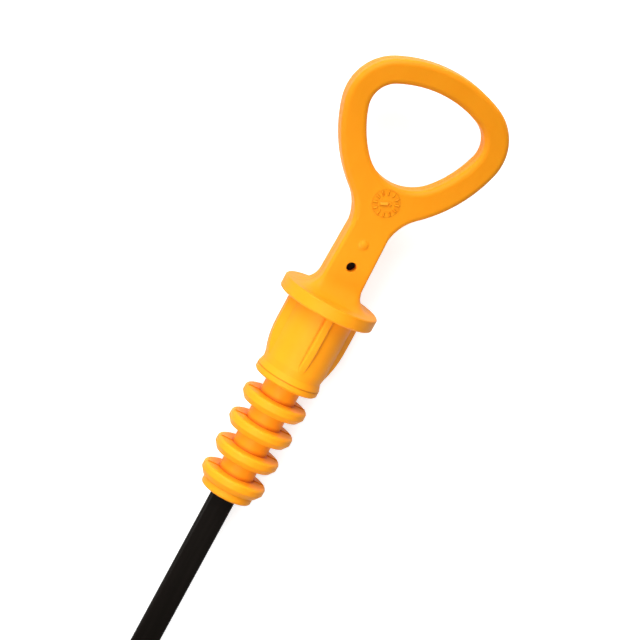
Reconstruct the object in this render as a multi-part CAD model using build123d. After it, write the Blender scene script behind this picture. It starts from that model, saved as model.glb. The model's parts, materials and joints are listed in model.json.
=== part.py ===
from build123d import *
import os
from math import atan2, cos, degrees, hypot, radians, sin, sqrt, tan

# Engine oil dipstick, in millimetres: a handle moulded in one piece onto a flat blade.
# It is drawn along X, with the finger loop at +X and the blade's tip at -X. The origin is
# the middle of the flange's underside, which seats on the guide tube. The flat sides of
# the loop and of the blade face Z. At the end both pieces are laid down as they rest on a
# table, on the flange's rim and the blade's tip.

# Flange, with the least flat that it keeps outside the round foot of the stem
flange_dia = 25.0
flange_thick = 3.48
flange_lower_bevel = 0.51
flange_upper_bevel = 0.3
flange_land = 0.2

# Stem, with its width at the flange, the height at which the neck leaves it, and how far its
# sharper edges run on before they end inside the neck
stem_width = 10.98
stem_taper = 1.45
stem_edge_round = 0.8
stem_base_round = 5.0
stem_run_on = 8.0
neck_at = 20.3
neck_radius = 11.47

# Finger loop: an outline of tangent arcs, and an opening one band width inside its top
grip_thick = 6.5
grip_edge_round = 1.3
loop_width = 42.52
loop_top = 65.31
loop_top_radius = 33.4
loop_corner_radius = 12.53
loop_side_radius = 36.3
loop_band = 6.06
opening_bottom = 34.53
opening_apex_radius = 12.07
opening_side_radius = 28.57

# Small dome and the pin holes that held the blade in the mould, heights above the seat
dome_at = 18.6
dome_dia = 2.6
dome_height = 0.45
pin_hole_at = 12.4
pin_hole_dia = 2.55

# Plug below the flange: a straight core that narrows to a waist, and four ribs that fade
# into it. The front and back ribs have straight flanks, the side ones sloping flanks.
plug_core_dia = 16.2
plug_core_length = 15.5
plug_waist_dia = 15.6
plug_length = 17.4
rib_dia = 19.0
rib_width = 2.05
rib_straight = 7.5
rib_end_gap = 0.95
rib_tip = 2.6
rib_edge_bevel = 0.3
side_rib_slope = 40.0

# Ring under the plug and the sealing fins, all of one diameter, on a core around the blade
seal_dia = 16.8
ring_flare = 1.62
ring_groove_width = 0.35
ring_groove_depth = 0.22
ring_thick = 1.86
ring_lower_bevel = 0.4
fin_core_wall = 1.26
fin_count = 4
fin_first_gap = 4.45
fin_pitch = 7.24
fin_upper_bevel = 0.59
fin_rim = 1.92
fin_thick = 3.29
fin_lower_dia = 14.8

# Collar that ends the moulding around the blade
collar_dia = 13.5
collar_length = 2.35
collar_bevel = 0.55

# Turn from each flat to the first of the two bevels that break the edges of flange, fins and collar
bevel_turn = 30.0

# Blade, a strip with round long edges and a rounded tip
blade_width = 6.75
blade_thick = 1.5
blade_reach = 355.0
blade_root = 21.0
tip_rise = 1.6
anchor_hole_at = 6.0
anchor_hole_dia = 3.0

# Level marks near the tip: two holes
mark_hole_dia = 2.0
low_mark_from_tip = 15.0
mark_spacing = 25.0

# Values that follow from the sizes above
ring_upper_x = -(plug_length + ring_flare)
ring_lower_x = ring_upper_x - ring_thick
fin_top_x = [ring_lower_x - fin_first_gap - i * fin_pitch for i in range(fin_count)]
collar_upper_x = fin_top_x[-1] - fin_thick
collar_lower_x = collar_upper_x - collar_length
flange_middle_x = flange_thick / 2
rib_length = plug_length - rib_end_gap
opening_top = loop_top - loop_band
tip_radius = (blade_width**2 / 4 + tip_rise**2) / (2 * tip_rise)
bevel_step = tan(radians(bevel_turn)) / (1 + tan(radians(bevel_turn)))
touching = 0.001


def touch(centre, radius, towards):
    """Point of a circle that lies towards another point."""
    return centre + (towards - centre).normalized() * radius


def below_both(first, first_reach, second, second_reach):
    """Point at given distances from two points, on the axis side of the line between them."""
    apart = second - first
    along = (first_reach**2 - second_reach**2 + apart.length**2) / (2 * apart.length)
    way = apart.normalized()
    return first + way * along + Vector(-way.Y, way.X) * sqrt(first_reach**2 - along**2)


def arc_chain(points, tangent):
    """Arcs from point to point, each tangent to the one before it."""
    arcs = []
    for start, end in zip(points, points[1:]):
        arcs.append(TangentArc(start, end, tangent=tangent))
        tangent = arcs[-1] % 1
    return arcs


def mirrored_face(half):
    """Face between a half outline above the X axis and its mirror image."""
    edges = Curve() + half
    return make_face(edges + mirror(edges, Plane.XZ))


# Circles that draw the upper half of the loop, by their centres
stem_line = Vector(cos(radians(stem_taper)), -sin(radians(stem_taper)))
stem_outward = Vector(-stem_line.Y, stem_line.X)
stem_edge = Vector(flange_thick, stem_width / 2)
stem_foot = stem_edge - stem_line * (flange_thick - flange_middle_x)
neck_start = stem_edge + stem_line * (neck_at - flange_thick)
neck_centre = neck_start + stem_outward * neck_radius
top_centre = Vector(loop_top - loop_top_radius, 0)
corner_y = loop_width / 2 - loop_corner_radius
corner_rise = sqrt((loop_top_radius - loop_corner_radius) ** 2 - corner_y**2)
corner_centre = top_centre + Vector(corner_rise, corner_y)
side_centre = below_both(
    corner_centre,
    loop_side_radius - loop_corner_radius,
    neck_centre,
    loop_side_radius + neck_radius,
)


def grip_face():
    """Outline of stem, neck and loop: straight tapered sides, then tangent arcs."""
    arcs = [
        neck_start,
        touch(neck_centre, neck_radius, side_centre),
        touch(side_centre, loop_side_radius, corner_centre),
        touch(top_centre, loop_top_radius, corner_centre),
        Vector(loop_top, 0),
    ]
    sides = [Line((stem_foot.X, 0), stem_foot), Line(stem_foot, neck_start)]
    return mirrored_face(sides + arc_chain(arcs, stem_line))


def opening_face():
    """Outline of the finger opening: the loop's top one band in, sides and a round apex."""
    apex_centre = Vector(opening_bottom + opening_apex_radius, 0)
    opening_side_centre = below_both(
        corner_centre,
        opening_side_radius - loop_corner_radius + loop_band,
        apex_centre,
        opening_side_radius - opening_apex_radius,
    )
    arcs = [
        Vector(opening_bottom, 0),
        touch(opening_side_centre, opening_side_radius, apex_centre),
        touch(opening_side_centre, opening_side_radius, corner_centre),
        touch(top_centre, loop_top_radius - loop_band, corner_centre),
        Vector(opening_top, 0),
    ]
    return mirrored_face(arc_chain(arcs, Vector(0, 1)))


def rounded_bar(outline, rounding):
    """Bar of even thickness over an outline, with its long edges above the flange rounded."""
    bar = extrude(outline, amount=grip_thick / 2, both=True)
    flats = bar.faces().sort_by(Axis.Z)
    rims = flats[0].edges() + flats[-1].edges()
    return fillet(rims.filter_by(lambda edge: edge.center().X > flange_middle_x + rounding), rounding)


def grip():
    """Loop, neck and stem as one bar with soft edges, and the stem again with sharper ones."""
    stem_end = neck_start + stem_line * stem_run_on
    sides = [Line((stem_foot.X, 0), stem_foot), Line(stem_foot, stem_end), Line(stem_end, (stem_end.X, 0))]
    loop = rounded_bar(grip_face() - opening_face(), grip_edge_round)
    return loop + rounded_bar(mirrored_face(sides), stem_edge_round)


def broken_edge(x, radius, size, side):
    """Disc edge broken by two bevels, from its flat outwards; side is 1 where that looks to +X."""
    step = size * bevel_step
    return [(x, radius - size), (x - side * step, radius - step), (x - side * size, radius)]


def plug_profile():
    """Half section of everything that is round about X, as corners (x, radius)."""
    seal = seal_dia / 2
    core = blade_width / 2 + fin_core_wall
    corners = [
        (flange_thick, 0),
        (flange_thick, flange_dia / 2 - flange_upper_bevel),
        (flange_thick - flange_upper_bevel, flange_dia / 2),
        *reversed(broken_edge(0, flange_dia / 2, flange_lower_bevel, -1)),
        (0, plug_core_dia / 2),
        (-plug_core_length, plug_core_dia / 2),
        (-plug_length, plug_waist_dia / 2),
        (ring_upper_x, seal),
        (ring_upper_x - ring_groove_width / 2, seal - ring_groove_depth),
        (ring_upper_x - ring_groove_width, seal),
        (ring_lower_x + ring_lower_bevel, seal),
        (ring_lower_x, seal - ring_lower_bevel),
        (ring_lower_x, core),
    ]
    for x in fin_top_x:
        corners += [
            (x, core),
            *broken_edge(x, seal, fin_upper_bevel, 1),
            (x - fin_rim, seal),
            (x - fin_thick, fin_lower_dia / 2),
            (x - fin_thick, core),
        ]
    # The last fin runs on into the end collar in place of the core.
    corners[-1] = (collar_upper_x, collar_dia / 2)
    corners += reversed(broken_edge(collar_lower_x, collar_dia / 2, collar_bevel, -1))
    corners.append((collar_lower_x, 0))
    return make_face(Polyline(*corners, close=True))


def ribs():
    """Four ribs cut to a barrel that curves in to the core, the front and back ones with round tips."""
    bend = (-rib_straight, rib_dia / 2)
    end = (-rib_length, plug_waist_dia / 2)
    barrel_outline = [
        Polyline(
            (-rib_length, 0),
            (flange_middle_x, 0),
            (flange_middle_x, rib_dia / 2),
            bend,
        ),
        TangentArc(bend, end, tangent=(-1, 0)),
        Line(end, (-rib_length, 0)),
    ]
    barrel = revolve(make_face(barrel_outline), Axis.X)
    tip_x = -rib_length + rib_tip
    plan = Pos((flange_middle_x + tip_x) / 2, 0) * Rectangle(flange_middle_x - tip_x, rib_width)
    plan += Pos(tip_x, 0) * Ellipse(rib_tip, rib_width / 2)
    straight = barrel & extrude(plan, amount=rib_dia, both=True)
    on_flanks = straight.edges().filter_by(lambda edge: abs(edge.center().Y) > rib_width / 2 - touching)
    long_edges = on_flanks.filter_by(lambda edge: abs(edge.center().Z) > plug_core_dia / 2)
    return chamfer(long_edges, rib_edge_bevel) + (barrel & side_ribs())


def side_ribs():
    """Bars of trapezoid section that reach from inside the core to the barrel's widest part."""
    inner = plug_core_dia / 4
    outer = rib_dia / 2
    half = rib_width / 2
    foot = half + (outer - inner) * tan(radians(side_rib_slope))
    corners = [(inner, -foot), (outer, -half), (outer, half), (inner, foot)]
    section = Plane.YZ * make_face(Polyline(*corners, close=True))
    bar = Pos(-rib_length, 0, 0) * extrude(section, amount=rib_length + flange_middle_x)
    return bar + mirror(bar, Plane.XZ)


def dome():
    """Ball whose cap stands out of the stem's front face."""
    radius = (dome_dia**2 / 4 + dome_height**2) / (2 * dome_height)
    return Pos(dome_at, 0, grip_thick / 2 + dome_height - radius) * Sphere(radius)


def blade():
    """Strip with round long edges, a round tip, an anchor hole and the level marks."""
    length = blade_root + blade_reach
    section = Plane.YZ * SlotOverall(blade_width, blade_thick)
    strip = Pos(-blade_reach, 0, 0) * extrude(section, amount=length)
    plan = SlotOverall(length + 2 * tip_radius, 2 * tip_radius, align=(Align.MIN, Align.CENTER))
    strip &= Pos(-blade_reach, 0, 0) * extrude(plan, amount=blade_thick, both=True)
    low_x = -blade_reach + low_mark_from_tip
    high_x = low_x + mark_spacing
    strip -= Pos(anchor_hole_at, 0, 0) * Cylinder(anchor_hole_dia / 2, 2 * blade_thick)
    for x in (low_x, high_x):
        strip -= Pos(x, 0, 0) * Cylinder(mark_hole_dia / 2, 2 * blade_thick)
    return strip


def stem_foot_round():
    """Radius of the stem's foot, as far as the flange has room for it."""
    edge = stem_edge_round
    stem_corner = hypot(stem_width / 2 - edge, grip_thick / 2 - edge) + edge
    room = flange_dia / 2 - flange_upper_bevel - flange_land - stem_corner
    return min(stem_base_round, room)


def handle(strip):
    """The moulding: round body, ribs, grip, dome and pin holes, closed around the blade."""
    body = revolve(plug_profile(), Axis.X) + ribs() + grip()
    on_flange = body.edges().filter_by(lambda edge: abs(edge.center().X - flange_thick) < touching)
    around_stem = on_flange.filter_by(lambda edge: edge.length < flange_dia)
    body = fillet(around_stem, stem_foot_round())
    body += dome()
    body -= Pos(pin_hole_at, 0, 0) * Cylinder(pin_hole_dia / 2, 2 * grip_thick)
    return body - strip


def lay_angle():
    """Slope of the axis when the flange's rim and the blade's tip lie on one plane."""
    run = blade_reach + flange_lower_bevel
    fall = flange_dia / 2 - blade_thick / 2
    return degrees(atan2(fall, run))


strip = blade()
lay = Rot(0, -lay_angle(), 0)
os.makedirs("parts", exist_ok=True)
export_step(lay * handle(strip), "parts/handle.step")
export_step(lay * strip, "parts/blade.step")
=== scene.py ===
import json
from math import cos, radians, sin, tau

import bmesh
import bpy
from mathutils import Matrix, Vector


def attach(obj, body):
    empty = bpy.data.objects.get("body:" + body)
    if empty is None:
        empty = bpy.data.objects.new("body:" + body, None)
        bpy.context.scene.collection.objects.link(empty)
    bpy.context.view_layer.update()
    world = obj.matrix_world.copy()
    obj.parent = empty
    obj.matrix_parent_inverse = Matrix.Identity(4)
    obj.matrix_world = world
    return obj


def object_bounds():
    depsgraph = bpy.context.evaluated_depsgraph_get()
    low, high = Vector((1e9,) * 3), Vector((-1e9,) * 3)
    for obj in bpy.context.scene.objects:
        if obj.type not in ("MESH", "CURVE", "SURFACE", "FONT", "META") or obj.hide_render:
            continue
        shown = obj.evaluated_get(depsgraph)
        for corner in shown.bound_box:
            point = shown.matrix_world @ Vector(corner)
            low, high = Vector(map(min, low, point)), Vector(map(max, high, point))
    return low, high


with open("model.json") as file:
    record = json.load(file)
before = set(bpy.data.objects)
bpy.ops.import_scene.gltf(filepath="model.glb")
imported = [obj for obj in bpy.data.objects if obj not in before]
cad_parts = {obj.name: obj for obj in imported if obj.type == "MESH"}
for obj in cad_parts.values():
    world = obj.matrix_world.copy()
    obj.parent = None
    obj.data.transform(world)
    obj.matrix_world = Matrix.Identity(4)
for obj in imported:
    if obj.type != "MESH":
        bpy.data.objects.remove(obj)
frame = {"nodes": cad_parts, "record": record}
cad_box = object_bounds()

# Engine oil dipstick: finishes for the moulded handle and the coated blade, the moulder's dial
# on the neck, the mould's flash on the fins, a white table, soft light and the camera. All
# lengths are in metres.

SCENE = bpy.context.scene
HANDLE = frame["nodes"]["handle"]
BLADE = frame["nodes"]["blade"]
MM = 0.001
WHITE = (1, 1, 1, 1)

# The dipstick's own axes as it lies: ALONG points to the loop, ACROSS to its side and OUT of
# its flat face
SEAT = next(mount for mount in frame["record"]["mounts"] if mount["name"] == "seat")
ORIGIN = Vector(SEAT["pos_m"])
ALONG = -Vector(SEAT["axis"]).normalized()
ACROSS = Vector((0, 1, 0))
OUT = ALONG.cross(ACROSS)

# Camera: where it stands from the seat's centre, and how the picture is turned
VIEW_LEAN = radians(10.79)
VIEW_TURN = radians(15.6)
VIEW_ROLL = radians(28.51)
VIEW_DISTANCE = 0.6438
VIEW_OFFSET = (0.2242 * MM, -3.1465 * MM)
VIEW_NEAREST = 0.01
FOCAL_PX = 2648.6
PICTURE_PX = 640
SENSOR_MM = 36.0

# Table
FLOOR_SIZE = 6.0
FLOOR_COLOUR = (0.82, 0.82, 0.82, 1)
FLOOR_ROUGHNESS = 0.9
FLOOR_LIFT = 0.6

# Light: pale surroundings that are dark overhead, and soft lamps, a large one beyond the loop
# and two small ones above the plug and the fins. A lamp stands at a place in the dipstick's own
# axes and looks at a place on its length.
WORLD_LEFT = 0.83
WORLD_RIGHT = 0.41
LAMPS = {
    "large_lamp": {
        "sizes": (0.6, 0.6),
        "power": 5.75,
        "where": (0.52, 0.32, 0.35),
        "aim": 0.0,
    },
    "plug_lamp": {
        "sizes": (0.06, 0.03),
        "power": 0.015,
        "where": (-0.012, 0.012, 0.055),
        "aim": -0.012,
    },
    "fin_lamp": {
        "sizes": (0.08, 0.04),
        "power": 0.037,
        "where": (-0.055, 0.03, 0.066),
        "aim": -0.045,
    },
}

# Noise: the part of its range that is used, and the detail of a fine grain. All noise scales
# are in cycles per metre.
NOISE_LOW = 0.3
NOISE_HIGH = 0.7
GRAIN_DETAIL = 2

# Plastic: faint flow marks between two tones, a fine grain and a little light below the surface
PLASTIC_TONES = ((0.90, 0.306, 0.007, 1), (0.94, 0.326, 0.009, 1))
PLASTIC_ROUGHNESS = (0.42, 0.54)
PLASTIC_SPECULAR = 0.13
FLOW_SCALE = 60
FLOW_DETAIL = 4
FLOW_STRETCH = (1, 2.5, 2.5)
PLASTIC_GRAIN_SCALE = 5200
PLASTIC_GRAIN_HEIGHT = 0.02 * MM
PLASTIC_GRAIN_STRENGTH = 0.5
GLOW_WEIGHT = 0.2
GLOW_RADIUS = (1.0, 0.6, 0.15)
GLOW_SCALE = 1.0 * MM

# Plastic: painted shade, a darker and redder orange, in each crease that faces the loop and along
# the mould's parting line, and edges that look round
CREASE_SHADE_COLOUR = (0.62, 0.12, 0.001, 1)
CREASE_REACH = 1.3 * MM
CREASE_SAMPLES = 8
CREASE_LEAN = 0.5
CREASE_FULL = 0.4
CREASE_NONE = 0.85
# Painted shade along the parting line: its half width, how dark it is, and the bump's height and
# strength
SEAM_HALF_WIDTH = 0.2 * MM
SEAM_SHADE = 0.7
SEAM_HEIGHT = 0.06 * MM
SEAM_STRENGTH = 1
EDGE_RADIUS = 0.5 * MM
EDGE_SAMPLES = 6

# Blade's coating: long faint lines of the drawn strip between two tones, and a fine grain
COATING_TONES = ((0.004, 0.003, 0.002, 1), (0.007, 0.005, 0.004, 1))
COATING_ROUGHNESS = (0.30, 0.42)
COATING_SPECULAR = 0.12
COATING_BUMP_STRENGTH = 0.4
LINE_SCALE = 700
LINE_DETAIL = 3
LINE_STRETCH = (0.02, 1, 1)
LINE_HEIGHT = 0.02 * MM
COATING_GRAIN_SCALE = 3000
COATING_GRAIN_HEIGHT = 0.01 * MM

# Moulder's dial on the neck: a lip, ticks and an arrow that stand a little proud
DIAL_AT = 30.05 * MM
DIAL_FACE = 3.25 * MM
DIAL_RADIUS = 3.5 * MM
DIAL_LIP = 0.12 * MM
DIAL_RISE = 0.05 * MM
LIP_STEPS = 96
TICK_COUNT = 12
TICK_OUTER = 3.32 * MM
TICK_LENGTH = 1.25 * MM
TICK_WIDTH = 0.5 * MM
TICK_RISE = 0.36 * MM
ARROW_TURN = radians(-69)
ARROW_LENGTH = 3.3 * MM
ARROW_WIDTH = 0.75 * MM
ARROW_HEAD = 1.0 * MM
ARROW_BARB = 1.5 * MM
ARROW_RISE = 0.45 * MM
ARROW_SLANT = 0.25 * MM

# Flash on the fins' upper faces, where the mould's halves meet: ridges from the core to the rim
FIN_FIRST = -25.33 * MM
FIN_PITCH = 7.24 * MM
FIN_COUNT = 4
FLASH_INNER = 4.6 * MM
FLASH_OUTER = 7.85 * MM
FLASH_WIDTH = 0.3 * MM
FLASH_RISE = 0.26 * MM

# How far the relief's foot goes into the moulding
SUNK = 0.03 * MM


def place(along, across, out):
    """World point of a place in the dipstick's own axes."""
    return ORIGIN + ALONG * along + ACROSS * across + OUT * out


def fill(tree, node, inputs):
    """Give a node's inputs plain values, or link them to other nodes' outputs."""
    for key, value in inputs.items():
        if isinstance(value, bpy.types.NodeSocket):
            tree.links.new(value, node.inputs[key])
        else:
            node.inputs[key].default_value = value


def outputs_of(tree, kind, inputs=None, **settings):
    """Outputs of a new node with these settings and inputs."""
    node = tree.nodes.new(kind)
    for name, value in settings.items():
        setattr(node, name, value)
    fill(tree, node, inputs or {})
    return node.outputs


def noise(tree, scale, detail, stretch=(1, 1, 1)):
    """Noise over the object's own coordinates."""
    where = outputs_of(tree, "ShaderNodeTexCoord")["Object"]
    stretched = outputs_of(tree, "ShaderNodeMapping", {"Vector": where, "Scale": stretch})
    inputs = {"Vector": stretched["Vector"], "Scale": scale, "Detail": detail}
    return outputs_of(tree, "ShaderNodeTexNoise", inputs)["Fac"]


def spread(tree, source, low, high, from_low=NOISE_LOW, from_high=NOISE_HIGH):
    """Value mapped from one range to another."""
    inputs = {
        "Value": source,
        "From Min": from_low,
        "From Max": from_high,
        "To Min": low,
        "To Max": high,
    }
    return outputs_of(tree, "ShaderNodeMapRange", inputs)["Result"]


def mixed_colour(tree, factor, first, second):
    """Two colours mixed by a value."""
    inputs = {"Factor": factor, "A": first, "B": second}
    return outputs_of(tree, "ShaderNodeMix", inputs, data_type="RGBA")["Result"]


def bump(tree, height, distance, strength, normal=None):
    """Bump of a given height in metres, on top of an earlier normal."""
    inputs = {"Height": height, "Distance": distance, "Strength": strength}
    if normal:
        inputs["Normal"] = normal
    return outputs_of(tree, "ShaderNodeBump", inputs)["Normal"]


def calculated(tree, operation, first, second):
    """Result of one operation on a value and a second value or plain number."""
    inputs = {0: first, 1: second}
    return outputs_of(tree, "ShaderNodeMath", inputs, operation=operation)["Value"]


def calculated_vector(tree, operation, *vectors):
    """Outputs of one operation on vectors."""
    inputs = dict(enumerate(vectors))
    return outputs_of(tree, "ShaderNodeVectorMath", inputs, operation=operation)


def parting_line(tree):
    """One on the plane where the mould's two halves meet, and nought beside it; it raises a faint
    ridge and carries painted shade along that line.
    """
    where = outputs_of(tree, "ShaderNodeTexCoord")["Object"]
    height = calculated_vector(tree, "DOT_PRODUCT", where, OUT)["Value"]
    away = calculated(tree, "POWER", height, 2.0)
    return spread(tree, away, 1, 0, 0, SEAM_HALF_WIDTH ** 2)


def painted_crease_shade(tree):
    """Mask for painted shade: one far inside a crease, nought on open faces. It looks along a normal
    that leans towards the blade, and so finds the crease corners that face the loop."""
    normal = outputs_of(tree, "ShaderNodeNewGeometry")["Normal"]
    leaning = calculated_vector(tree, "SUBTRACT", normal, ALONG * CREASE_LEAN)["Vector"]
    axis = calculated_vector(tree, "NORMALIZE", leaning)["Vector"]
    inputs = {"Distance": CREASE_REACH, "Normal": axis}
    seen = outputs_of(tree, "ShaderNodeAmbientOcclusion", inputs, samples=CREASE_SAMPLES)
    return spread(tree, seen["AO"], 1, 0, CREASE_FULL, CREASE_NONE)


def round_edges(tree):
    """Normal that turns smoothly over the moulding's edges."""
    inputs = {"Radius": EDGE_RADIUS}
    return outputs_of(tree, "ShaderNodeBevel", inputs, samples=EDGE_SAMPLES)["Normal"]


def new_material(name):
    """Node material with one shader."""
    material = bpy.data.materials.new(name)
    material.use_nodes = True
    return material, material.node_tree, material.node_tree.nodes["Principled BSDF"]


def orange_plastic(name, soft):
    """Satin orange moulding with fine spark-eroded grain; its edges look round if it is soft."""
    material, tree, shader = new_material(name)
    flow = noise(tree, FLOW_SCALE, FLOW_DETAIL, FLOW_STRETCH)
    grain = noise(tree, PLASTIC_GRAIN_SCALE, GRAIN_DETAIL)
    colour = mixed_colour(tree, spread(tree, flow, 0, 1), *PLASTIC_TONES)
    seam = parting_line(tree)
    # Painted shade: the colour darkens towards a redder orange in each crease that faces the loop
    # and along the parting line
    painted_shade = calculated(tree, "MAXIMUM", painted_crease_shade(tree), calculated(tree, "MULTIPLY", seam, SEAM_SHADE))
    edges = round_edges(tree) if soft else None
    ridge = bump(tree, seam, SEAM_HEIGHT, SEAM_STRENGTH, edges)
    inputs = {
        "Base Color": mixed_colour(tree, painted_shade, colour, CREASE_SHADE_COLOUR),
        "Roughness": spread(tree, grain, *PLASTIC_ROUGHNESS),
        "Normal": bump(tree, grain, PLASTIC_GRAIN_HEIGHT, PLASTIC_GRAIN_STRENGTH, ridge),
        "Subsurface Weight": GLOW_WEIGHT,
        "Subsurface Radius": GLOW_RADIUS,
        "Subsurface Scale": GLOW_SCALE,
        "Specular IOR Level": PLASTIC_SPECULAR,
    }
    fill(tree, shader, inputs)
    return material


def black_coating():
    """Satin black coating on drawn strip: long faint lines under a fine grain."""
    material, tree, shader = new_material("black_coating")
    lines = noise(tree, LINE_SCALE, LINE_DETAIL, LINE_STRETCH)
    grain = noise(tree, COATING_GRAIN_SCALE, GRAIN_DETAIL)
    drawn = bump(tree, lines, LINE_HEIGHT, COATING_BUMP_STRENGTH)
    inputs = {
        "Base Color": mixed_colour(tree, spread(tree, lines, 0, 1), *COATING_TONES),
        "Roughness": spread(tree, grain, *COATING_ROUGHNESS),
        "Normal": bump(tree, grain, COATING_GRAIN_HEIGHT, COATING_BUMP_STRENGTH, drawn),
        "Specular IOR Level": COATING_SPECULAR,
    }
    fill(tree, shader, inputs)
    return material


def white_table():
    """Plain matt surface that the camera and reflections see lifted to white."""
    material, tree, shader = new_material("white_table")
    path = outputs_of(tree, "ShaderNodeLightPath")
    seen = path["Is Camera Ray"]
    for ray in ("Is Glossy Ray", "Is Transmission Ray"):
        seen = calculated(tree, "MAXIMUM", seen, path[ray])
    inputs = {
        "Base Color": FLOOR_COLOUR,
        "Roughness": FLOOR_ROUGHNESS,
        "Specular IOR Level": 0,
        "Emission Color": WHITE,
        "Emission Strength": calculated(tree, "MULTIPLY", seen, FLOOR_LIFT),
    }
    fill(tree, shader, inputs)
    return material


def add_floor():
    """Table top under the flange's rim and the blade's tip."""
    mesh = bpy.data.meshes.new("floor")
    half = FLOOR_SIZE / 2
    level = cad_box[0][2]
    square = ((-half, -half), (half, -half), (half, half), (-half, half))
    mesh.from_pydata([(*corner, level) for corner in square], [], [(0, 1, 2, 3)])
    floor = bpy.data.objects.new("floor", mesh)
    SCENE.collection.objects.link(floor)
    mesh.materials.append(white_table())


def add_lamp(name, sizes, power, where, aim):
    """Soft light that faces a place on the dipstick's length."""
    light = bpy.data.lights.new(name, "AREA")
    light.shape = "RECTANGLE"
    light.size, light.size_y = sizes
    light.energy = power
    lamp = bpy.data.objects.new(name, light)
    lamp.location = place(*where)
    way = place(aim, 0, 0) - lamp.location
    lamp.rotation_euler = way.to_track_quat("-Z", "Y").to_euler()
    lamp.visible_camera = False
    SCENE.collection.objects.link(lamp)


def add_world():
    """Pale surroundings, dark overhead, bright at the horizon and brightest on the left."""
    world = bpy.data.worlds.new("surroundings")
    world.use_nodes = True
    tree = world.node_tree
    way = outputs_of(tree, "ShaderNodeTexCoord")["Generated"]
    parts = outputs_of(tree, "ShaderNodeSeparateXYZ", {"Vector": way})
    low = spread(tree, calculated(tree, "POWER", parts["Z"], 2.0), 1, 0, 0, 1)
    sideways = spread(tree, parts["Y"], WORLD_RIGHT, WORLD_LEFT, -1, 1)
    strength = calculated(tree, "MULTIPLY", low, sideways)
    fill(tree, tree.nodes["Background"], {"Color": WHITE, "Strength": strength})
    SCENE.world = world


def roof(mesh, outline, crest, low, high):
    """Closed roof over an outline, with slopes that rise to the nearest point of its crest."""
    base = [mesh.verts.new((*point, low)) for point in outline]
    top = [mesh.verts.new((*point, high)) for point in crest]
    over = [min(range(len(crest)), key=lambda k: (crest[k] - point).length) for point in outline]
    mesh.faces.new(base)
    for i in range(len(base)):
        after = (i + 1) % len(base)
        corners = [base[i], base[after], top[over[after]]]
        if over[after] != over[i]:
            corners.append(top[over[i]])
        mesh.faces.new(corners)


def raised_ring(mesh, radius, width, low, high):
    """Round lip with sloping sides and a flat top half as wide as its foot."""
    section = [(-width / 2, low), (-width / 4, high), (width / 4, high), (width / 2, low)]
    loops = []
    for i in range(LIP_STEPS):
        way = Vector((cos(tau * i / LIP_STEPS), sin(tau * i / LIP_STEPS)))
        points = [(*(way * (radius + aside)), level) for aside, level in section]
        loops.append([mesh.verts.new(point) for point in points])
    for i in range(LIP_STEPS):
        near = loops[i]
        far = loops[(i + 1) % LIP_STEPS]
        for k in range(len(section)):
            after = (k + 1) % len(section)
            mesh.faces.new((near[k], far[k], far[after], near[after]))


def turned(points, angle):
    """Plane points turned about the middle."""
    turn = Matrix.Rotation(angle, 2)
    return [turn @ Vector(point) for point in points]


def add_relief(name, relief, where, axes, material):
    """Piece of the moulding from a relief drawn on a plane, which has a place and three axes."""
    bmesh.ops.recalc_face_normals(relief, faces=relief.faces)
    relief.transform(Matrix.Translation(where) @ Matrix(axes).transposed().to_4x4())
    mesh = bpy.data.meshes.new(name)
    relief.to_mesh(mesh)
    relief.free()
    mesh.materials.append(material)
    piece = bpy.data.objects.new(name, mesh)
    SCENE.collection.objects.link(piece)
    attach(piece, "root")


def add_dial(material):
    """Moulder's dial on the neck: a lip, radial ticks and an arrow."""
    relief = bmesh.new()
    raised_ring(relief, DIAL_RADIUS, DIAL_LIP, -SUNK, DIAL_RISE)
    inner = TICK_OUTER - TICK_LENGTH
    half = TICK_WIDTH / 2
    tick = [(inner, -half), (TICK_OUTER, -half), (TICK_OUTER, half), (inner, half)]
    tick_crest = [(inner + half, 0), (TICK_OUTER - half, 0)]
    for i in range(TICK_COUNT):
        turn = tau * (i + 0.5) / TICK_COUNT
        roof(relief, turned(tick, turn), turned(tick_crest, turn), -SUNK, TICK_RISE)
    tip = ARROW_LENGTH / 2
    neck = tip - ARROW_HEAD
    side = ARROW_WIDTH / 2
    barb = ARROW_BARB / 2
    shaft = [(-tip, -side), (neck, -side), (neck, side), (-tip, side)]
    shaft_crest = [(side - tip, -ARROW_SLANT), (neck - side, -ARROW_SLANT)]
    head = [(neck, -barb), (tip, 0), (neck, barb)]
    head_crest = [(neck + ARROW_HEAD / 3, -ARROW_SLANT)]
    for outline, crest in ((shaft, shaft_crest), (head, head_crest)):
        roof(relief, turned(outline, ARROW_TURN), turned(crest, ARROW_TURN), -SUNK, ARROW_RISE)
    middle = place(DIAL_AT, 0, DIAL_FACE)
    add_relief("moulding_dial", relief, middle, (ALONG, ACROSS, OUT), material)


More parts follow.
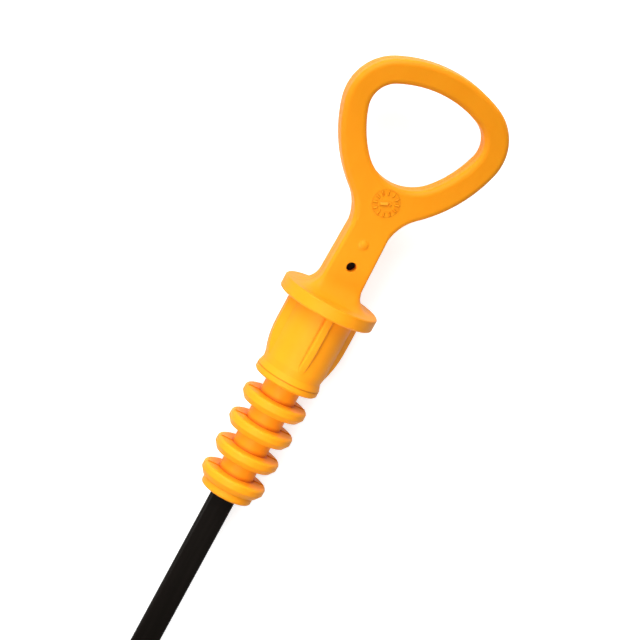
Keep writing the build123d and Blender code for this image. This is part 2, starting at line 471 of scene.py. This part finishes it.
def add_flash(material):
    """Fine ridges on both sides of each fin, on the plane where the mould's halves meet."""
    relief = bmesh.new()
    half = FLASH_WIDTH / 2
    outline = [(FLASH_INNER, -half), (FLASH_OUTER, -half), (FLASH_OUTER, half), (FLASH_INNER, half)]
    crest = [(FLASH_INNER, 0), (FLASH_OUTER - half, 0)]
    for i in range(FIN_COUNT):
        low = FIN_FIRST - i * FIN_PITCH - SUNK
        high = FIN_FIRST - i * FIN_PITCH + FLASH_RISE
        for turn in (0, tau / 2):
            roof(relief, turned(outline, turn), turned(crest, turn), low, high)
    add_relief("fin_flash", relief, ORIGIN, (ACROSS, OUT, ALONG), material)


def add_camera():
    """Camera above the table, leaning towards the loop and turned to one side."""
    above = ACROSS * sin(VIEW_TURN) + OUT * cos(VIEW_TURN)
    back = ALONG * sin(VIEW_LEAN) + above * cos(VIEW_LEAN)
    level = OUT * sin(VIEW_TURN) - ACROSS * cos(VIEW_TURN)
    upright = back.cross(level)
    right = level * cos(VIEW_ROLL) + upright * sin(VIEW_ROLL)
    up = upright * cos(VIEW_ROLL) - level * sin(VIEW_ROLL)
    where = ORIGIN + level * VIEW_OFFSET[0] + upright * VIEW_OFFSET[1] + back * VIEW_DISTANCE
    data = bpy.data.cameras.new("camera")
    data.sensor_fit = "HORIZONTAL"
    data.sensor_width = SENSOR_MM
    data.lens = SENSOR_MM * FOCAL_PX / PICTURE_PX
    data.clip_start = VIEW_NEAREST
    camera = bpy.data.objects.new("camera", data)
    turn = Matrix((right, up, back)).transposed()
    camera.matrix_world = Matrix.Translation(where) @ turn.to_4x4()
    SCENE.collection.objects.link(camera)
    SCENE.camera = camera


def dress(node, material):
    """Give a CAD node one material."""
    node.data.materials.clear()
    node.data.materials.append(material)


dress(HANDLE, orange_plastic("orange_plastic", True))
dress(BLADE, black_coating())
relief_plastic = orange_plastic("orange_relief", False)
add_dial(relief_plastic)
add_flash(relief_plastic)
add_floor()
add_world()
for lamp_name, lamp in LAMPS.items():
    add_lamp(lamp_name, **lamp)
add_camera()
SCENE.view_settings.view_transform = "Standard"
